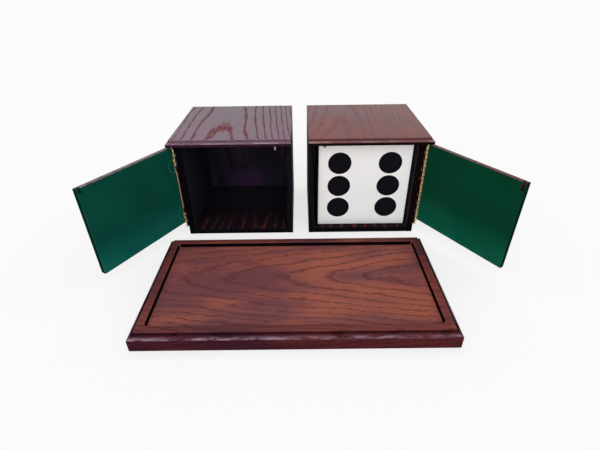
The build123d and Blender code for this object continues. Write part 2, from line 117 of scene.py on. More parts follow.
class Recipe:
    """The node tree of one material, with a short call for each kind of node in use."""

    def __init__(self, name: str) -> None:
        """Start a material with one Principled shader.

        Args:
            name: Name of the material.
        """
        self.material = bpy.data.materials.new(name)
        self.material.use_nodes = True
        self.nodes = self.material.node_tree.nodes
        self.shader = self.nodes["Principled BSDF"]

    def feed(self, socket: Socket, value: Value) -> None:
        """Link a socket to another one, or set its own value.

        Args:
            socket: The input to fill.
            value: Another node's output, a number, or a colour or vector.
        """
        if isinstance(value, bpy.types.NodeSocket):
            self.material.node_tree.links.new(value, socket)
        elif isinstance(value, tuple) and socket.type == "RGBA":
            socket.default_value = (*value[:3], 1.0)
        else:
            socket.default_value = value

    def place(self) -> Socket:
        """Object coordinates, in metres."""
        return self.nodes.new("ShaderNodeTexCoord").outputs["Object"]

    def part(self, vector: Socket, axis: int) -> Socket:
        """One component of a vector."""
        node = self.nodes.new("ShaderNodeSeparateXYZ")
        self.feed(node.inputs[0], vector)
        return node.outputs[axis]

    def calc(self, kind: str, *values: Value) -> Socket:
        """A Math node.

        Args:
            kind: Name of the operation.
            *values: Its inputs, in order.

        Returns:
            The result.
        """
        node = self.nodes.new("ShaderNodeMath")
        node.operation = kind
        for socket, value in zip(node.inputs, values):
            self.feed(socket, value)
        return node.outputs[0]

    def times(self, first: Value, second: Value) -> Socket:
        """The product of two numbers."""
        return self.calc("MULTIPLY", first, second)

    def minus(self, first: Value, second: Value) -> Socket:
        """The first number less the second."""
        return self.calc("SUBTRACT", first, second)

    def fused(self, first: Value, second: Value, third: Value) -> Socket:
        """The product of the first two numbers, plus the third."""
        return self.calc("MULTIPLY_ADD", first, second, third)

    def vector(self, kind: str, *values: Value) -> Socket:
        """A Vector Math node.

        Args:
            kind: Name of the operation.
            *values: Its inputs, in order. A plain number is the scale.

        Returns:
            The number for DOT_PRODUCT, DISTANCE and LENGTH, or else the vector.
        """
        node = self.nodes.new("ShaderNodeVectorMath")
        node.operation = kind
        places = iter(node.inputs)
        for value in values:
            if isinstance(value, (int, float)):
                self.feed(node.inputs["Scale"], value)
            else:
                self.feed(next(places), value)
        scalar = kind in ("DOT_PRODUCT", "DISTANCE", "LENGTH")
        return node.outputs["Value" if scalar else "Vector"]

    def turned(self, vector: Socket, centre: Point, lean: Point) -> Socket:
        """A vector from a centre, turned by the angles of lean about X, Y and Z, in radians."""
        node = self.nodes.new("ShaderNodeMapping")
        self.feed(node.inputs["Vector"], self.vector("SUBTRACT", vector, centre))
        node.inputs["Rotation"].default_value = lean
        return node.outputs[0]

    def noise(self, vector: Socket, scale: float, detail: float = 2.0, rough: float = 0.5) -> Socket:
        """Noise from 0 to 1.

        Args:
            vector: Where it is read.
            scale: Cells for each unit of the vector.
            detail: Number of octaves.
            rough: Share of each further octave.

        Returns:
            The noise.
        """
        node = self.nodes.new("ShaderNodeTexNoise")
        self.feed(node.inputs["Vector"], vector)
        node.inputs["Scale"].default_value = scale
        node.inputs["Detail"].default_value = detail
        node.inputs["Roughness"].default_value = rough
        return node.outputs["Fac"]

    def step(self, value: Value, low: float, high: float, out_low: float = 0.0,
             out_high: float = 1.0) -> Socket:
        """A smooth step from out_low at low to out_high at high.

        Args:
            value: What is stepped.
            low: Where the step starts.
            high: Where it ends.
            out_low: Result before the step.
            out_high: Result after it.

        Returns:
            The stepped value.
        """
        node = self.nodes.new("ShaderNodeMapRange")
        node.interpolation_type = "SMOOTHSTEP"
        for socket, number in zip(node.inputs, (value, low, high, out_low, out_high)):
            self.feed(socket, number)
        return node.outputs[0]

    def mix(self, share: Value, first: Value, second: Value) -> Socket:
        """A mix of two colours: the first where share is 0, the second where it is 1."""
        node = self.nodes.new("ShaderNodeMix")
        node.data_type = "RGBA"
        self.feed(node.inputs[0], share)
        self.feed(node.inputs[6], first)
        self.feed(node.inputs[7], second)
        return node.outputs[2]

    def relief(self, height: Socket, depth: float, strength: float) -> None:
        """Give the shader a bump.

        Args:
            height: The height from 0 to 1.
            depth: Height difference that 1 stands for, in metres.
            strength: Share of the bump that shows.
        """
        node = self.nodes.new("ShaderNodeBump")
        node.inputs["Strength"].default_value = strength
        node.inputs["Distance"].default_value = depth
        self.feed(node.inputs["Height"], height)
        self.feed(self.shader.inputs["Normal"], node.outputs[0])

    def finish(self, colour: Value, rough: Value, metal: Value = 0.0,
               gloss: float = 0.5) -> bpy.types.Material:
        """Fill the shader.

        Args:
            colour: Base colour.
            rough: Roughness.
            metal: Metallic share.
            gloss: Specular level.

        Returns:
            The material.
        """
        for name, value in {"Base Color": colour, "Roughness": rough, "Metallic": metal,
                            "Specular IOR Level": gloss}.items():
            self.feed(self.shader.inputs[name], value)
        return self.material


@dataclass(frozen=True)
class Figure:
    """How the growth rings of the trunk lie in a board.

    A point p has the distance r = |part of R(p - pith) across the grain| from the middle of the
    trunk, with the rings wandering by a slow noise, and its place in its ring is frac(r / ring).
    The cells of noise have a size across and a size along the grain, in metres.
    """

    grain: Grain
    pith: Point
    ring: float = 0.0050
    lean: Point = (0.0, 0.0, 0.0)
    wander: float = 0.004
    wander_length: float = 0.06
    jitter: float = 0.12
    rise: float = 0.07
    band: float = 0.42
    ragged_cell: Span = (0.0022, 0.014)
    year_cell: Span = (0.08, 0.16)
    pore_cell: Span = (0.00065, 0.0040)
    pore_level: Span = (0.63, 0.72)

    def stretched(self, recipe: Recipe, across: float, along: float) -> Socket:
        """Object coordinates in cells of a size across and a size along the grain, in metres."""
        scale = [1.0 / across] * 3
        scale[self.grain.value] = 1.0 / along
        return recipe.vector("MULTIPLY", recipe.place(), tuple(scale))

    def rings(self, recipe: Recipe) -> tuple[Socket, Socket]:
        """The rings in a material.

        Returns:
            The share of porous spring wood, which is 1 at the start of a ring and 0 in its summer
            wood, and the count of rings from the middle of the trunk.
        """
        at = recipe.turned(recipe.place(), self.pith, self.lean)
        across = [1.0, 1.0, 1.0]
        across[self.grain.value] = 0.0
        radius = recipe.vector("LENGTH", recipe.vector("MULTIPLY", at, tuple(across)))
        slow = self.stretched(recipe, self.wander_length * 0.5, self.wander_length * 1.6)
        drift = recipe.minus(recipe.noise(slow, 1.0), 0.5)
        shift = recipe.times(drift, 2 * self.wander)
        ring = recipe.calc("DIVIDE", recipe.calc("ADD", radius, shift), self.ring)
        fine = recipe.noise(self.stretched(recipe, *self.ragged_cell), 1.0, 3.0, 0.65)
        ring = recipe.fused(recipe.minus(fine, 0.5), 2 * self.jitter, ring)
        place = recipe.calc("FRACT", ring)
        start = recipe.step(place, 0.0, self.rise)
        end = recipe.step(place, self.band * 0.55, self.band, 1.0, 0.0)
        return recipe.times(start, end), ring

    def zones(self, recipe: Recipe, ring: Socket) -> Socket:
        """Light and dark years: noise over the ring count, which slides slowly along the board."""
        join = recipe.nodes.new("ShaderNodeCombineXYZ")
        recipe.feed(join.inputs[0], ring)
        slow = recipe.noise(self.stretched(recipe, *self.year_cell), 1.0)
        recipe.feed(join.inputs[1], recipe.times(slow, 3.0))
        return recipe.noise(join.outputs[0], 0.55)

    def pores(self, recipe: Recipe, porous: Socket, share: float) -> Socket:
        """1 in a short open pore, 0 beside it. Porous spring wood lowers their threshold by share."""
        cells = recipe.noise(self.stretched(recipe, *self.pore_cell), 1.0, 2.0, 0.6)
        return recipe.step(recipe.fused(porous, share, cells), *self.pore_level)


@dataclass(frozen=True)
class EdgeStainShadeAndGlint:
    """A moulded edge: its stain, painted shade below the arris and painted highlights above the lip.

    A point is out by max(low - p, p - high) over x and y. The cove runs from z = lip up to crest,
    and dark and glint_span are parts of that height. Shade, cove and face are shares of the board's
    own colour, so its figure shows through. Shade is painted shade under the arris, face makes the
    face below the lip darker with stain and painted shade, and glint is a painted highlight in dashes
    above the lip of the front. Flank is the share of the cove's colour that is left on the two sides,
    up to the mitres, as painted shade there.
    """

    low: Span
    high: Span
    lip: float
    crest: float
    shade: Colour
    cove: Colour
    glint: Colour
    face: Colour
    glint_share: float = 0.75
    glint_span: Span = (0.06, 0.40)
    dark: Span = (0.2, 0.75)
    dash: float = 0.018
    flank: float = 1.0
    soft: float = 0.0002

    def over(self, recipe: Recipe, colour: Socket) -> Socket:
        """The colour with the edge's stain, its painted shade and its painted highlights on top."""
        place = recipe.place()
        height = recipe.part(place, 2)
        outs = []
        for axis, low, high in zip((0, 1), self.low, self.high):
            at = recipe.part(place, axis)
            outs.append(recipe.calc("MAXIMUM", recipe.minus(low, at), recipe.minus(at, high)))
        beyond = recipe.step(recipe.calc("MAXIMUM", *outs), -self.soft, 2 * self.soft)
        beside = recipe.step(recipe.minus(*outs), -self.soft, self.soft)
        span = self.crest - self.lip
        # Painted shade: the cove darkens towards the arris.
        dark = recipe.step(height, *(self.lip + share * span for share in self.dark))
        cove = recipe.mix(dark, self.cove, self.shade)
        # Painted shade: the cove is darker on the two sides, by flank.
        cove = recipe.mix(beside, cove, recipe.vector("SCALE", cove, self.flank))
        # The face below the lip is darker: stain with painted shade.
        below = recipe.step(height, self.lip - 0.0005, self.lip, 1.0, 0.0)
        stain = recipe.mix(below, cove, self.face)
        colour = recipe.mix(beyond, colour, recipe.vector("MULTIPLY", colour, stain))
        # Painted highlights: light dashes just above the lip of the front.
        cells = recipe.vector("MULTIPLY", place, (1 / self.dash, 1 / self.dash, 500.0))
        wear_and_highlight = recipe.step(recipe.noise(cells, 1.0, 4.0, 0.65), 0.42, 0.64, 0.0, self.glint_share)
        wear_and_highlight = recipe.times(wear_and_highlight, recipe.fused(beside, self.flank - 1.0, 1.0))
        above = recipe.step(height, self.lip - self.soft / 2, self.lip + self.soft)
        under = recipe.step(height, *(self.lip + share * span for share in self.glint_span), 1.0, 0.0)
        near = recipe.times(beyond, recipe.times(above, under))
        return recipe.mix(recipe.times(near, wear_and_highlight), colour, self.glint)


@dataclass(frozen=True)
class StainedWood:
    """Open-grained wood under a dark stain and a thin lacquer."""

    name: str
    figure: Figure
    summer: Colour
    spring: Colour
    pore: Colour
    tint: Colour
    tint_share: float = 0.5
    tint_length: float = 0.07
    tint_level: Span = (0.40, 0.62)
    zone_share: float = 0.5
    contrast: float = 0.7
    fibre_share: float = 0.28
    fibre_cell: Span = (0.0011, 0.035)
    fibre_level: Span = (0.35, 0.75)
    pore_share: float = 0.2
    pore_cover: float = 0.85
    rough: float = 0.36
    rough_pore: float = 0.62
    spring_rough: float = 0.55
    gloss: float = 0.5
    edge_gloss: float = 0.03
    depth: float = 0.00022
    spring_sink: float = 0.2
    pore_sink: float = 0.8
    coats: tuple["Coat", ...] = ()

    def material(self, edge: bool = False) -> bpy.types.Material:
        """The material, with the rings, the pores, a slow change of tint and the relief of the pores.

        Args:
            edge: Whether it is for the sawn edges, which drink the lacquer and stay dull.

        Returns:
            The material.
        """
        recipe = Recipe(f"{self.name}_edge" if edge else self.name)
        figure = self.figure
        porous, ring = figure.rings(recipe)
        pores = figure.pores(recipe, porous, self.pore_share)
        cells = figure.stretched(recipe, self.tint_length * 0.6, self.tint_length * 1.7)
        patches = recipe.times(recipe.noise(cells, 1.0, 3.0), 1.0 - self.zone_share)
        zones = recipe.fused(figure.zones(recipe, ring), self.zone_share, patches)
        tinted = recipe.step(zones, *self.tint_level, 0.0, self.tint_share)
        ground = recipe.mix(tinted, self.summer, self.tint)
        fibre = recipe.noise(figure.stretched(recipe, *self.fibre_cell), 1.0, 3.0, 0.6)
        fibre = recipe.step(fibre, *self.fibre_level, 0.0, self.fibre_share)
        ground = recipe.mix(fibre, ground, self.spring)
        colour = recipe.mix(recipe.times(porous, self.contrast), ground, self.spring)
        colour = recipe.mix(recipe.times(pores, self.pore_cover), colour, self.pore)
        for coat in self.coats:
            colour = coat.over(recipe, colour)
        cover = recipe.calc("MAXIMUM", recipe.times(porous, self.spring_rough), pores)
        rough = recipe.fused(cover, self.rough_pore - self.rough, self.rough)
        sunk = recipe.fused(pores, -self.pore_sink, recipe.times(porous, -self.spring_sink))
        recipe.relief(recipe.calc("ADD", sunk, 1.0), self.depth, 0.8)
        return recipe.finish(colour, rough, gloss=self.edge_gloss if edge else self.gloss)


@dataclass(frozen=True)
class HollowShadeAndRimStain:
    """Painted shade on the walls of a recess and in the corner below them, and a redder stain on the rim.

    A point is inside by d = min(half - |p|) over x and y, so a wall has d = 0 and the rim d < 0.
    The painted shade sets in over a span of d before the wall and over a span of depth below the rim.
    """

    half: Span
    rim: float
    colour: Colour
    rim_stain: Colour = (0.57, 0.48, 0.55)
    reach: float = 0.0009
    soft: float = 0.0003
    before: Span = (0.0008, 0.0004)
    depth: Span = (0.0007, 0.0001)

    def over(self, recipe: Recipe, colour: Socket) -> Socket:
        """The colour with painted shade on the walls and their corner, and the rim a little redder."""
        place = recipe.place()
        inside: Value = 1.0
        for axis, half in enumerate(self.half):
            away = recipe.calc("ABSOLUTE", recipe.part(place, axis))
            inside = recipe.calc("MINIMUM", inside, recipe.minus(half, away))
        low, high = (self.rim - depth for depth in self.depth)
        below = recipe.step(recipe.part(place, 2), low, high, 1.0, 0.0)
        # Painted shade on the walls of the recess and in the corner below them.
        corner = recipe.times(recipe.step(inside, self.soft, self.reach, 1.0, 0.0), below)
        walls = recipe.times(corner, recipe.step(inside, *(-away for away in self.before)))
        rim = recipe.step(inside, -self.soft, 0.0, 1.0, 0.0)
        colour = recipe.mix(rim, colour, recipe.vector("MULTIPLY", colour, self.rim_stain))
        return recipe.mix(walls, colour, self.colour)


def level(axis: int, at: float, sign: float) -> Plane:
    """The plane where a coordinate equals at. Its far side lies towards sign along the axis."""
    start, direction = [0.0, 0.0, 0.0], [0.0, 0.0, 0.0]
    start[axis], direction[axis] = at, sign
    return tuple(start), tuple(direction)


def cut(start: Vector, direction: Vector) -> Plane:
    """The plane through a start. Its far side lies along the direction."""
    return tuple(start), tuple(direction)


@dataclass(frozen=True)
class Painted:
    """Paint, wear, painted shade or painted light on the part of a board that lies beyond each of some
    planes.
    """

    planes: tuple[Plane, ...]
    colour: Colour
    patchy: float = 0.0
    fade: float = 0.0002

    def over(self, recipe: Recipe, colour: Socket) -> Socket:
        """The colour with the paint where dot(p - start, direction) > 0 for each plane, less in patches."""
        cloud = recipe.noise(recipe.place(), 260.0, 3.0, 0.6)
        share = recipe.step(cloud, 0.45, 0.62, 1.0, 1.0 - self.patchy)
        for start, direction in self.planes:
            away = recipe.vector("SUBTRACT", recipe.place(), start)
            beyond = recipe.step(recipe.vector("DOT_PRODUCT", away, direction), -self.fade, 0.0)
            share = recipe.times(share, beyond)
        return recipe.mix(share, colour, self.colour)


@dataclass(frozen=True)
class PaintedFrontLight:
    """Painted light: a slow change of tone from the front of a board to its back, lighter at the front."""

    front: float
    back: float
    start: float = 0.100
    end: float = 0.210

    def over(self, recipe: Recipe, colour: Socket) -> Socket:
        """The colour times a share that goes from front at y = start to back at y = end."""
        # Painted light: the board is lighter at the front and darker at the back.
        share = recipe.step(recipe.part(recipe.place(), 1), self.start, self.end)
        front, back = (recipe.vector("SCALE", colour, tone) for tone in (self.front, self.back))
        return recipe.mix(share, front, back)


Coat = Union[EdgeStainShadeAndGlint, HollowShadeAndRimStain, Painted, PaintedFrontLight]


@dataclass(frozen=True)
class Lining:
    """The green inside of a door: a semi-matt painted skin, with a painted reflection of the floor near its
    foot.
    """

    name: str
    colour: Colour
    shade: Colour
    floor_reflection: Colour
    foot: Span = (0.016, 0.060)
    gloss: float = 0.03

    def skin(self, recipe: Recipe) -> tuple[Socket, Socket]:
        """The colour of the paint, with the painted floor reflection near its foot, and its faint orange
        peel.
        """
        place = recipe.place()
        cloud = recipe.step(recipe.noise(place, 22.0), 0.3, 0.7)
        peel = recipe.noise(place, 900.0, 2.0, 0.6)
        share = recipe.fused(peel, 0.25, recipe.times(cloud, 0.75))
        colour = recipe.mix(share, self.colour, self.shade)
        # Painted reflection of the floor: a lighter colour near the foot of the door.
        low = recipe.step(recipe.part(place, 2), *self.foot, 1.0, 0.0)
        soft = recipe.times(low, recipe.step(cloud, 0.0, 1.0, 0.5, 1.0))
        return recipe.mix(soft, colour, self.floor_reflection), peel

    def material(self) -> bpy.types.Material:
        """The material."""
        recipe = Recipe(self.name)
        colour, peel = self.skin(recipe)
        recipe.relief(peel, 0.00003, 0.5)
        rough = recipe.fused(peel, 0.12, 0.36)
        return recipe.finish(colour, rough, gloss=self.gloss)


@dataclass(frozen=True)
class Paint:
    """Brushed paint: a base colour, a little worn in faint level streaks."""

    name: str
    colour: Colour
    wear_and_highlight: Colour
    rough: float = 0.45
    gloss: float = 0.3

    def material(self) -> bpy.types.Material:
        """The material."""
        recipe = Recipe(self.name)
        cells = recipe.vector("MULTIPLY", recipe.place(), (160.0, 160.0, 1400.0))
        streak = recipe.noise(cells, 1.0, 3.0, 0.55)
        cloud = recipe.noise(recipe.place(), 35.0)
        share = recipe.times(recipe.step(cloud, 0.35, 0.8), recipe.step(streak, 0.3, 0.8))
        recipe.relief(streak, 0.00002, 0.6)
        rough = recipe.fused(streak, 0.16, self.rough - 0.08)
        return recipe.finish(recipe.mix(share, self.colour, self.wear_and_highlight), rough, gloss=self.gloss)


@dataclass(frozen=True)
class Metal:
    """Drawn metal, with fine lines round its length and dull spots where it has tarnished.

    Knuckles are the height where they start and their pitch. Each dark band has two heights.
    """

    name: str
    bright: Colour
    dull: Colour
    rough: float = 0.28
    tarnish: float = 0.5
    knuckles: Optional[Span] = None
    grime: Colour = (0.10, 0.035, 0.012)
    bands: tuple[Span, ...] = ()
    band_colour: Colour = (0.012, 0.004, 0.004)
    band_fade: float = 0.0004

    def base(self, recipe: Recipe) -> tuple[Socket, Socket]:
        """Colour and roughness of the bare metal.

        Grime gathers at the ends of the knuckles, where |frac((z - low) / pitch) - 1/2| is near 1/2.
        """
        place = recipe.place()
        height = recipe.part(place, 2)
        lines = recipe.noise(recipe.vector("MULTIPLY", place, (700.0, 700.0, 9000.0)), 1.0)
        spots = recipe.noise(place, 420.0, 3.0, 0.6)
        share = recipe.step(spots, 0.5, 0.72, 0.0, self.tarnish)
        colour = recipe.mix(share, self.bright, self.dull)
        if self.knuckles is not None:
            low, pitch = self.knuckles
            along = recipe.calc("FRACT", recipe.calc("DIVIDE", recipe.minus(height, low), pitch))
            near = recipe.calc("ABSOLUTE", recipe.minus(along, 0.5))
            ragged = recipe.fused(spots, 0.16, near)
            colour = recipe.mix(recipe.step(ragged, 0.44, 0.54), colour, self.grime)
        for low, high in self.bands:
            middle, half = (low + high) / 2, (high - low) / 2
            off = recipe.calc("ABSOLUTE", recipe.minus(height, middle))
            band = recipe.step(off, half - self.band_fade, half, 0.93, 0.0)
            colour = recipe.mix(band, colour, self.band_colour)
        recipe.relief(lines, 0.000015, 0.5)
        rough = recipe.fused(lines, 0.1, self.rough)
        return colour, recipe.fused(share, 0.3, rough)

    def material(self) -> bpy.types.Material:
        """The bare metal."""
        recipe = Recipe(self.name)
        colour, rough = self.base(recipe)
        return recipe.finish(colour, rough, metal=1.0)


@dataclass(frozen=True)
class StainedOverMetal:
    """A hinge leaf whose plate got the stain of the wood, while its knuckles stayed bare."""

    name: str
    metal: Metal
    stain: Colour
    side: Side
    face: float
    line: Span = (0.0012, 0.0015)

    def material(self) -> bpy.types.Material:
        """The material. The stain ends at a ragged line, just past the outer face of the side."""
        recipe = Recipe(self.name)
        bare, rough = self.metal.base(recipe)
        across = recipe.times(recipe.part(recipe.place(), 0), self.side.outward)
        ragged = recipe.fused(recipe.noise(recipe.place(), 700.0), 0.0008, across)
        limit = self.side.outward * self.side.x(self.face)
        share = recipe.step(ragged, *(limit + away for away in self.line))
        colour = recipe.mix(share, self.stain, bare)
        return recipe.finish(colour, recipe.calc("MAXIMUM", rough, 0.3), metal=share, gloss=0.01)


@dataclass(frozen=True)
class FlapSheet:
    """The thin flap: green where it lies open, white on its die face, bare metal on its roll.

    The roll is darker on its inner side, towards the gap. Bites are the heights of the middles of the
    two bites. With h = dot(p - axis, front), the white side is h = +0.3 mm, the green one h = -0.3 mm
    and the rim lies between them.
    """

    name: str
    lining: Lining
    # Light green of the painted highlights round the bites.
    wear_and_highlight: Colour
    white: Colour
    metal: Metal
    axis: Point
    front: Point
    along: Point
    stain: Colour = (0.010, 0.005, 0.005)
    white_from: Span = (0.000292, 0.000298)
    roll: float = 0.0016
    edge: float = 0.0020
    bite: float = 0.0070
    bites: Span = (0.0301, 0.0879)

    def arcs(self, recipe: Recipe, away: Socket) -> Socket:
        """1 on a thin painted highlight round each bite, where |(dot(away, along) - edge, z - height)| =
        bite.
        """
        run = recipe.minus(recipe.vector("DOT_PRODUCT", away, self.along), self.edge)
        rise = recipe.part(recipe.place(), 2)
        line: Value = 0.0
        for height in self.bites:
            lift = recipe.minus(rise, height)
            square = recipe.fused(lift, lift, recipe.times(run, run))
            gap = recipe.minus(recipe.calc("SQRT", square), self.bite + 0.0004)
            near = recipe.step(recipe.calc("ABSOLUTE", gap), 0.0003, 0.0007, 1.0, 0.0)
            line = recipe.calc("MAXIMUM", line, near)
        return line

    def material(self) -> bpy.types.Material:
        """The material."""
        recipe = Recipe(self.name)
        bare, rough = self.metal.base(recipe)
        away = recipe.vector("SUBTRACT", recipe.place(), self.axis)
        side = recipe.step(recipe.vector("DOT_PRODUCT", away, self.front), *self.white_from)
        flat = recipe.vector("LENGTH", recipe.vector("MULTIPLY", away, (1.0, 1.0, 0.0)))
        near = recipe.step(flat, self.roll - 0.0003, self.roll, 1.0, 0.0)
        green, peel = self.lining.skin(recipe)
        # Painted highlight: a light line round the edge of each bite.
        green = recipe.mix(self.arcs(recipe, away), green, self.wear_and_highlight)
        white = recipe.mix(peel, self.white, tuple(0.9 * c for c in self.white))
        inner = recipe.step(recipe.part(away, 0), 0.0, 0.0004, 0.0, 0.94)
        bare = recipe.mix(inner, bare, self.stain)
        colour = recipe.mix(near, recipe.mix(side, green, white), bare)
        paint = recipe.times(recipe.minus(1.0, near), recipe.fused(peel, 0.12, 0.34))
        rough = recipe.calc("ADD", recipe.times(near, rough), paint)
        return recipe.finish(colour, rough, metal=near, gloss=self.lining.gloss)


def dress(node: str, material: bpy.types.Material) -> None:
    """Give a CAD node a material.

    Args:
        node: Name of the node.
        material: What it gets.
    """
    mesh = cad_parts[node].data
    mesh.materials.clear()
    mesh.materials.append(material)
    LOG.info("%s dressed as %s", node, material.name)


def softened(node: str, body: str, radius: float, materials: Sequence[bpy.types.Material],
             pick: Pick) -> None:
    """Replace a CAD board by a copy with its arrises eased by hand, as sandpaper leaves them.

    Args:
        node: The board.
        body: The CAD body that it rides on.
        radius: Radius of the eased edge, in metres.
        materials: Its finishes.
        pick: Turns the centres and normals of the faces into the places of their finishes.
    """
    work = bmesh.new()
    work.from_mesh(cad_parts[node].data)
    bmesh.ops.remove_doubles(work, verts=work.verts, dist=WELD)
    bmesh.ops.dissolve_limit(work, angle_limit=FLAT, verts=work.verts, edges=work.edges)
    sharp = [e for e in work.edges if e.is_manifold and e.calc_face_angle(0.0) > SHARP]
    bmesh.ops.bevel(work, geom=sharp, offset=radius, segments=3, profile=0.5, affect="EDGES",
                    clamp_overlap=True, offset_type="OFFSET")
    mesh = bpy.data.meshes.new(f"{node}_eased")
    work.to_mesh(mesh)
    work.free()
    mesh.polygons.foreach_set("use_smooth", np.ones(len(mesh.polygons), bool))
    mesh.set_sharp_from_angle(angle=CREASE)
    for material in materials:
        mesh.materials.append(material)
    sides = np.empty((2, len(mesh.polygons), 3), np.float32)
    mesh.polygons.foreach_get("center", sides[0].ravel())
    mesh.polygons.foreach_get("normal", sides[1].ravel())
    mesh.polygons.foreach_set("material_index", pick(*sides).astype(np.int32))
    piece = bpy.data.objects.new(f"{node}_eased", mesh)
    bpy.context.scene.collection.objects.link(piece)
    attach(piece, body)
    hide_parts(node)
    LOG.info("%s eased, %d faces", node, len(mesh.polygons))


def outside(low: Span, high: Span) -> Pick:
    """Picks 1 for the faces that lie outside a rectangle or look sideways, and 0 for the others."""
    def pick(centres: np.ndarray, normals: np.ndarray) -> np.ndarray:
        flat = centres[:, :2]
        return ((flat < low) | (flat > high)).any(axis=1) | (normals[:, 2] < 0.5)
    return pick


def facing(direction: Point) -> Pick:
    """Picks 1 for the faces that look along a direction, and 0 for the others."""
    def pick(centres: np.ndarray, normals: np.ndarray) -> np.ndarray:
        return normals @ np.array(direction) > 0.25
    return pick


@dataclass
class Tray:
    """The moulded tray."""

    ease: float = 0.0005
    hollow: Span = (0.12325, 0.05775)
    # Colour of the painted shade on the walls of the recess.
    hollow_shade: Colour = (0.004, 0.0015, 0.002)
    # Painted shade below the arris and on the flanks, and painted highlights above the lip.
    edge: EdgeStainShadeAndGlint = EdgeStainShadeAndGlint(
        low=(-0.1301, -0.0646), high=(0.1301, 0.0646), lip=0.012, crest=0.017, shade=(0.10, 0.07, 0.10),
        cove=(0.58, 0.62, 0.82), glint=(0.60, 0.48, 0.54), face=(0.43, 0.38, 0.50), flank=0.35)
    finish: StainedWood = StainedWood(
        name="tray_wood",
        figure=Figure(Grain.X, (0.0, 0.010, -0.066), ring=0.0034, lean=(0.0, 0.075, 0.02), wander=0.0045,
                      wander_length=0.07, jitter=0.34, band=0.34),
        summer=(0.165, 0.055, 0.064), spring=(0.125, 0.036, 0.038), pore=(0.105, 0.032, 0.033),
        tint=(0.360, 0.100, 0.064), tint_share=1.0, tint_length=0.050, zone_share=0.45, contrast=0.24,
        pore_share=0.17, rough=0.42, rough_pore=0.58, gloss=0.12, edge_gloss=0.0)

    def build(self) -> None:
        """Ease the edges and stain the board."""
        hollow = HollowShadeAndRimStain(self.hollow, self.edge.crest, self.hollow_shade)
        finish = replace(self.finish, coats=(self.edge, hollow))
        softened("tray", "tray", self.ease, (finish.material(), finish.material(edge=True)),
                 outside(self.edge.low, self.edge.high))


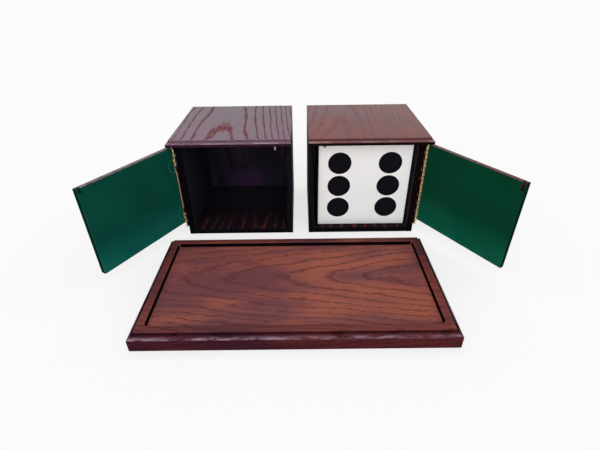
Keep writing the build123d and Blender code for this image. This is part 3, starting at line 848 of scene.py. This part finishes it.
@dataclass
class Cabinet:
    """One cabinet with its door, hinge and catch.

    The door stands open by opening, in degrees. It ends at door_reach from its axis and at the height
    door_top, its outside lies door_back before the axis, and its painted end starts at a plane that
    leans by end_tilt. Its top edge gets a lighter colour, wear with a painted sheen, and stain is the
    colour of the hinge's plates.
    """

    side: Side
    top: StainedWood
    brass: Metal
    steel: Metal
    lining: Lining
    opening: float
    # Lighter colour of the top edge: wear with a painted sheen.
    wear_and_highlight: Colour
    stain: Colour
    notch_painted: bool = False
    width: float = 0.120
    door_reach: float = 0.1068
    door_top: float = 0.1075
    door_back: float = 0.0050
    notch: float = 0.008
    end_tilt: float = 0.26
    ease: float = 0.0004
    black: Colour = (0.0036, 0.0032, 0.0045)
    black_lines: Colour = (0.0045, 0.0030, 0.0040)

    def part(self, name: str) -> str:
        """A name with the side in front, as the CAD nodes and bodies have it."""
        return f"{self.side.value}_{name}"

    def ebony(self, part: str, grain: Grain, streak: Colour, tint: Colour) -> StainedWood:
        """The near-black stain of a board. Streak colours its spring wood and tint its slow patches."""
        pith = (self.side.x(0.05), 0.15, 0.05)
        offset = (0.01, 0.0, -0.035) if grain is Grain.Y else (0.03, -0.09, 0.0)
        centre = tuple(a + b for a, b in zip(pith, offset))
        return StainedWood(
            name=self.part(f"{part}_wood"),
            figure=Figure(grain, centre, ring=0.0052, lean=(0.03, 0.04, 0.03)),
            summer=(0.0080, 0.0072, 0.0115), spring=streak, pore=(0.0020, 0.0012, 0.0014), tint=tint,
            rough=0.45, rough_pore=0.65, gloss=0.02, edge_gloss=0.0)

    def carcass(self) -> dict[str, StainedWood]:
        """The finish of each board.

        The outer side is paler inside, a painted light, and darkest on its front edge. The back is
        lightened to a purple glow with a brighter spot low in its middle, both painted light. The red
        streaks of the floor fade into painted shade behind them, and a little painted light comes back
        at the far end.
        """
        outward, front = self.side.outward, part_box(self.part("floor_board"))[0].y
        inner, outer = (self.ebony(part, Grain.Z, self.black_lines, self.black)
                        for part in ("inner_side", "outer_side"))
        # Painted light: the inner face of the outer side is lifted to a paler colour.
        inside = Painted((level(0, self.side.x(self.width - 0.003), -outward),), (0.021, 0.021, 0.033))
        edge = Painted((level(1, front + 0.0003, -1.0),), (0.0014, 0.0012, 0.0018))
        # Painted light: a brighter purple spot low in the middle of the back panel.
        spot = Painted((level(0, self.side.x(0.079), -outward), level(0, self.side.x(0.050), outward),
                        level(2, 0.020, -1.0)), (0.041, 0.019, 0.051), fade=0.016)
        # Painted light: the back panel's streak and tint are a lighter purple glow.
        back = self.ebony("back_panel", Grain.Z, (0.034, 0.024, 0.046), (0.074, 0.048, 0.098))
        # Painted shade: the floor darkens towards the back; far then adds a little painted light at the back.
        deep = Painted((level(1, front + 0.050, 1.0),), (0.0080, 0.0070, 0.0100), fade=0.042)
        far = Painted((level(1, front + 0.095, 1.0),), (0.0216, 0.0205, 0.0300), fade=0.055)
        floor = self.ebony("floor_board", Grain.Y, (0.165, 0.036, 0.034), (0.011, 0.007, 0.009))
        streaks = replace(floor.figure, ring=0.0105, jitter=0.30, band=0.26, wander=0.009)
        return {
            "inner_side": inner,
            "outer_side": replace(outer, coats=(inside, edge)),
            "back_panel": replace(back, pore=(0.014, 0.011, 0.018), contrast=0.4, coats=(spot,)),
            "floor_board": replace(floor, figure=streaks, coats=(deep, far), fibre_share=0.05, contrast=0.85)}

    def build(self) -> None:
        """Dress every piece of the cabinet."""
        self.build_top()
        self.build_carcass()
        self.build_door()
        self.build_hinge()
        bush = Metal(self.part("bush_brass"), (0.55, 0.36, 0.12), (0.2, 0.11, 0.04))
        dress(self.part("catch_bush"), bush.material())
        dress(self.part("catch_pin"), self.steel.material())

    def build_top(self) -> None:
        """Stain the top board, with dull moulded edges."""
        edge = next(coat for coat in self.top.coats if isinstance(coat, EdgeStainShadeAndGlint))
        softened(self.part("top_board"), self.part("cabinet"), self.ease,
                 (self.top.material(), self.top.material(edge=True)), outside(edge.low, edge.high))

    def build_carcass(self) -> None:
        """Stain the boards. The outer side keeps its own mesh, since the hinge is let into it."""
        for part, board in self.carcass().items():
            if part == "outer_side":
                dress(self.part(part), board.material())
                continue
            inside = board.material()
            dull = self.ebony(f"{part}_outside", board.figure.grain, self.black, self.black)
            outwards = (0.0, 1.0 if part == "back_panel" else -1.0, 0.0)
            softened(self.part(part), self.part("cabinet"), self.ease,
                     (inside, dull.material(edge=True)), facing(outwards))

    def build_door(self) -> None:
        """Stain the door board, with wear and painted sheen on its top edge; paint its lining and free end.
        """
        axis, along, inwards = self.side.swing(self.opening)
        corner = axis + self.door_reach * along - self.door_back * inwards
        tilted = math.cos(self.end_tilt) * along + math.sin(self.end_tilt) * inwards
        # The top edge gets a lighter colour in patches: wear with a painted sheen.
        paint = [Painted((level(2, self.door_top, 1.0),), self.wear_and_highlight, patchy=0.8)]
        if self.notch_painted:
            under_top = (self.door_top - 0.0006) * UP
            notch = (cut(corner - self.notch * along, along), cut(corner + 0.0008 * inwards, inwards),
                     cut(under_top, -UP))
            paint.append(Painted(notch, self.lining.shade))
        # The free end is painted the lining's green, darkened to 0.4 as painted shade against the lamp that
        # faces it.
        paint.append(Painted((cut(corner, tilted),), tuple(0.4 * c for c in self.lining.shade)))
        door = StainedWood(
            name=self.part("door_wood"),
            figure=Figure(Grain.Z, (self.side.x(0.16), 0.02, 0.05), ring=0.0055, lean=(0.05, 0.03, 0.0)),
            summer=(0.060, 0.020, 0.024), spring=(0.034, 0.010, 0.010), pore=(0.012, 0.003, 0.003),
            tint=(0.085, 0.030, 0.032), rough=0.4, gloss=0.15, edge_gloss=0.0, coats=tuple(paint))
        softened(self.part("door_panel"), self.part("door"), self.ease,
                 (door.material(), door.material(edge=True)), facing(tuple(along)))
        dress(self.part("door_lining"), self.lining.material())

    def build_hinge(self) -> None:
        """Dress the leaves, the pin and the screws."""
        leaf = StainedOverMetal(self.part("leaf_brass"), self.brass, self.stain, self.side, self.width)
        for finish, parts in ((leaf, ("carcass_leaf", "carcass_leaf_screws", "door_leaf")),
                              (self.brass, ("door_leaf_screws", "hinge_pin"))):
            material = finish.material()
            for part in parts:
                dress(self.part(part), material)


@dataclass
class Flap:
    """The die front flap, which lies against the open left door."""

    metal: Metal
    lining: Lining
    opening: float
    # Light green of the painted highlights round the bites.
    wear_and_highlight: Colour = (0.020, 0.155, 0.115)
    white: Colour = (0.88, 0.88, 0.87)

    def build(self) -> None:
        """Paint the sheet green on one side and white with black pips on the other."""
        axis, along, inwards = Side.LEFT.swing(self.opening)
        sheet = FlapSheet(
            name="flap_sheet", lining=self.lining, wear_and_highlight=self.wear_and_highlight, white=self.white, metal=self.metal,
            axis=tuple(axis), front=tuple(-inwards), along=tuple(along))
        pips = Paint("flap_pip_paint", colour=(0.006, 0.005, 0.007), wear_and_highlight=(0.012, 0.01, 0.012), gloss=0.04)
        dress("left_die_flap", sheet.material())
        dress("left_die_flap_pips", pips.material())


@dataclass
class Die:
    """The big white die."""

    white: Paint = Paint("die_white_paint", colour=(0.90, 0.90, 0.89), wear_and_highlight=(0.84, 0.84, 0.83), rough=0.42)
    black: Paint = Paint("die_black_paint", colour=(0.005, 0.004, 0.007), wear_and_highlight=(0.008, 0.006, 0.010),
                         rough=0.5, gloss=0.04)

    def build(self) -> None:
        """Paint the cube white and its pips black."""
        dress("die_body", self.white.material())
        dress("die_pips", self.black.material())


@dataclass
class Studio:
    """Plain pale floor, soft light and the camera at the photograph's angle."""

    eye: Point = (0.00638, -0.28782, 0.26138)
    yaw: float = -0.224
    pitch: float = 32.805
    roll: float = -0.806
    focus: float = 400.58
    image_width: float = 600.0
    floor_reach: float = 6.0
    floor_drop: float = 0.0001
    floor_cells: int = 8
    floor_lift: float = 0.7
    world_fill: float = 0.62

    def build_camera(self) -> None:
        """Aim the camera: forward is turned by the yaw and dropped by the pitch, then rolled."""
        yaw, pitch, roll = (math.radians(a) for a in (self.yaw, self.pitch, self.roll))
        forward = Vector((math.sin(yaw) * math.cos(pitch), math.cos(yaw) * math.cos(pitch), -math.sin(pitch)))
        right = Vector((math.cos(yaw), -math.sin(yaw), 0.0))
        up = right.cross(forward)
        across = math.cos(roll) * right + math.sin(roll) * up
        upward = -math.sin(roll) * right + math.cos(roll) * up
        data = bpy.data.cameras.new("camera")
        data.sensor_width = SENSOR
        data.lens = SENSOR * self.focus / self.image_width
        data.clip_start = 0.01
        camera = bpy.data.objects.new("camera", data)
        turn = Matrix((across, upward, -forward)).transposed().to_4x4()
        camera.matrix_world = Matrix.Translation(self.eye) @ turn
        bpy.context.scene.collection.objects.link(camera)
        bpy.context.scene.camera = camera

    def build_floor(self) -> None:
        """A pale table: a square grid of z = -floor_drop, just below the object."""
        count = self.floor_cells + 1
        steps = np.linspace(-self.floor_reach, self.floor_reach, count)
        x, y = np.meshgrid(steps, steps)
        points = np.stack([x.ravel(), y.ravel(), np.full(x.size, -self.floor_drop)], axis=1)
        corner = (np.arange(count - 1)[:, None] * count + np.arange(count - 1)).ravel()
        faces = np.stack([corner, corner + 1, corner + count + 1, corner + count], axis=1)
        mesh = bpy.data.meshes.new("floor")
        mesh.from_pydata(points.tolist(), [], faces.tolist())
        floor = bpy.data.objects.new("floor", mesh)
        bpy.context.scene.collection.objects.link(floor)
        recipe = Recipe("floor_white")
        cloth = recipe.noise(recipe.place(), 260.0, 3.0)
        colour = recipe.mix(recipe.step(cloth, 0.35, 0.7, 0.0, 0.5), (0.90, 0.90, 0.89), (0.87, 0.87, 0.86))
        recipe.relief(cloth, 0.0001, 0.2)
        recipe.finish(colour, 0.85, gloss=0.1)
        self.lift(recipe)
        mesh.materials.append(recipe.material)

    def seen(self, nodes: bpy.types.Nodes, links: bpy.types.NodeLinks) -> Socket:
        """1 for camera, glossy and transmission rays, 0 for the light that falls on the object."""
        path = nodes.new("ShaderNodeLightPath")
        seen = path.outputs["Is Camera Ray"]
        for kind in ("Is Glossy Ray", "Is Transmission Ray"):
            join = nodes.new("ShaderNodeMath")
            join.operation = "MAXIMUM"
            links.new(seen, join.inputs[0])
            links.new(path.outputs[kind], join.inputs[1])
            seen = join.outputs[0]
        return seen

    def lift(self, recipe: Recipe) -> None:
        """Blend the seen floor with plain white, which keeps part of the object's shadow."""
        links = recipe.material.node_tree.links
        share = recipe.times(self.seen(recipe.nodes, links), self.floor_lift)
        white = recipe.nodes.new("ShaderNodeEmission")
        blend = recipe.nodes.new("ShaderNodeMixShader")
        links.new(share, blend.inputs[0])
        links.new(recipe.shader.outputs[0], blend.inputs[1])
        links.new(white.outputs[0], blend.inputs[2])
        links.new(blend.outputs[0], recipe.nodes["Material Output"].inputs["Surface"])

    def build_world(self) -> None:
        """White where a camera, glossy or transmission ray sees it, and a soft fill for the rest."""
        world = bpy.data.worlds.new("studio")
        bpy.context.scene.world = world
        world.use_nodes = True
        nodes, links = world.node_tree.nodes, world.node_tree.links
        span = nodes.new("ShaderNodeMapRange")
        span.inputs["To Min"].default_value = self.world_fill
        span.inputs["To Max"].default_value = 1.0
        links.new(self.seen(nodes, links), span.inputs["Value"])
        background = nodes["Background"]
        background.inputs["Color"].default_value = (1.0, 1.0, 1.0, 1.0)
        links.new(span.outputs[0], background.inputs["Strength"])

    def build_lamp(self, name: str, tilt: Span, spread: float, power: float) -> None:
        """A far soft light.

        Args:
            name: Name of the lamp.
            tilt: How far it leans from overhead, towards the back and towards the right, in degrees.
            spread: The angle that its disc fills, in degrees.
            power: Its strength, in watts for a square metre.
        """
        data = bpy.data.lights.new(name, "SUN")
        data.angle = math.radians(spread)
        data.energy = power
        lamp = bpy.data.objects.new(name, data)
        lamp.rotation_euler = (-math.radians(tilt[0]), math.radians(tilt[1]), 0.0)
        lamp.visible_glossy = False
        bpy.context.scene.collection.objects.link(lamp)

    def build(self) -> None:
        """Set up the camera, the floor and the light."""
        self.build_camera()
        self.build_floor()
        self.build_world()
        self.build_lamp("over", tilt=(15.0, 25.0), spread=80.0, power=0.55)
        self.build_lamp("front", tilt=(-62.0, -12.0), spread=70.0, power=1.55)
        bpy.context.scene.view_settings.view_transform = "Standard"


def top_edge(side: Side, shade: Colour, cove: Colour, glint: Colour, face: Colour) -> EdgeStainShadeAndGlint:
    """The stain, painted shade and painted highlights of a top board's moulded front and outer edge."""
    low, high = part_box(f"{side.value}_top_board")
    left = low.x + (TOP_MOULD if side is Side.LEFT else -FAR)
    right = high.x - (TOP_MOULD if side is Side.RIGHT else -FAR)
    return EdgeStainShadeAndGlint(low=(left, low.y + TOP_MOULD), high=(right, FAR), lip=0.1123, crest=0.1160,
                     shade=shade, cove=cove, glint=glint, face=face)


def left_top() -> StainedWood:
    """The left top: a bold figure that runs front to back under a mauve sheen, painted into its colours."""
    edge = top_edge(Side.LEFT, shade=(0.32, 0.20, 0.28), cove=(0.80, 0.72, 0.80), glint=(0.42, 0.34, 0.37),
                    face=(0.14, 0.06, 0.10))
    return StainedWood(
        name="left_top_wood",
        figure=Figure(Grain.Y, (-0.0785, 0.15, -0.0196), ring=0.0025, lean=(0.016, 0.0, -0.05),
                      wander=0.0010, wander_length=0.05, jitter=0.26, band=0.30),
        # Painted reflection: the greyish mauve of these colours stands in for the lacquer's sheen.
        summer=(0.194, 0.150, 0.184), spring=(0.184, 0.058, 0.072), pore=(0.106, 0.022, 0.026),
        tint=(0.188, 0.142, 0.176), tint_share=0.7, zone_share=0.0, contrast=0.80, pore_share=0.22,
        rough_pore=0.6, gloss=0.06, coats=(PaintedFrontLight(front=1.13, back=0.87), edge))


def right_top() -> StainedWood:
    """The right top: an even red-brown with a faint figure."""
    edge = top_edge(Side.RIGHT, shade=(0.04, 0.02, 0.025), cove=(0.75, 0.72, 0.74), glint=(0.42, 0.30, 0.30),
                    face=(0.035, 0.02, 0.025))
    return StainedWood(
        name="right_top_wood",
        figure=Figure(Grain.Y, (0.050, 0.15, -0.010), ring=0.0022, lean=(0.02, 0.0, 0.10),
                      wander=0.0014, wander_length=0.06, jitter=0.36, band=0.30),
        summer=(0.174, 0.089, 0.099), spring=(0.175, 0.066, 0.060), pore=(0.125, 0.048, 0.048),
        tint=(0.218, 0.088, 0.076), tint_share=0.9, tint_length=0.030, zone_share=0.35, contrast=0.25,
        pore_share=0.10, rough_pore=0.5, gloss=0.06, coats=(PaintedFrontLight(front=1.08, back=0.86), edge))


def main() -> None:
    """Build the studio and every sub-assembly."""
    logging.basicConfig(level=logging.INFO, format="%(message)s")
    Studio().build()
    brass = Metal("brass", (0.90, 0.70, 0.32), (0.36, 0.18, 0.06), rough=0.3, knuckles=(0.0115, 0.005))
    left_brass = replace(brass, name="old_brass", bands=((0.0305, 0.0366), (0.0814, 0.0875)))
    copper = Metal("flap_copper", (0.86, 0.55, 0.27), (0.36, 0.15, 0.08), rough=0.35, tarnish=0.7)
    Tray().build()
    left_green = Lining("left_green", colour=(0.0030, 0.070, 0.048), shade=(0.0022, 0.052, 0.037),
                        floor_reflection=(0.004, 0.115, 0.090))
    right_green = Lining("right_green", colour=(0.0018, 0.054, 0.027), shade=(0.0014, 0.041, 0.019),
                         floor_reflection=(0.003, 0.120, 0.072))
    Cabinet(side=Side.LEFT, top=left_top(), brass=left_brass, lining=left_green, opening=LEFT_OPENING,
            steel=Metal("left_catch_steel", (0.50, 0.48, 0.48), (0.30, 0.28, 0.27)),
            wear_and_highlight=(0.20, 0.15, 0.16), stain=(0.0024, 0.0020, 0.0036), notch_painted=True).build()
    Cabinet(side=Side.RIGHT, top=right_top(), brass=brass, lining=right_green, opening=RIGHT_OPENING,
            # The right catch pin's steel is darkened as painted shade, for a pin that stands in shadow.
            steel=Metal("right_catch_steel_shaded", (0.10, 0.09, 0.09), (0.05, 0.04, 0.04)),
            wear_and_highlight=(0.13, 0.055, 0.05), stain=(0.0065, 0.0016, 0.0018)).build()
    Flap(metal=copper, lining=left_green, opening=LEFT_OPENING).build()
    Die().build()


if __name__ == "__main__":
    main()
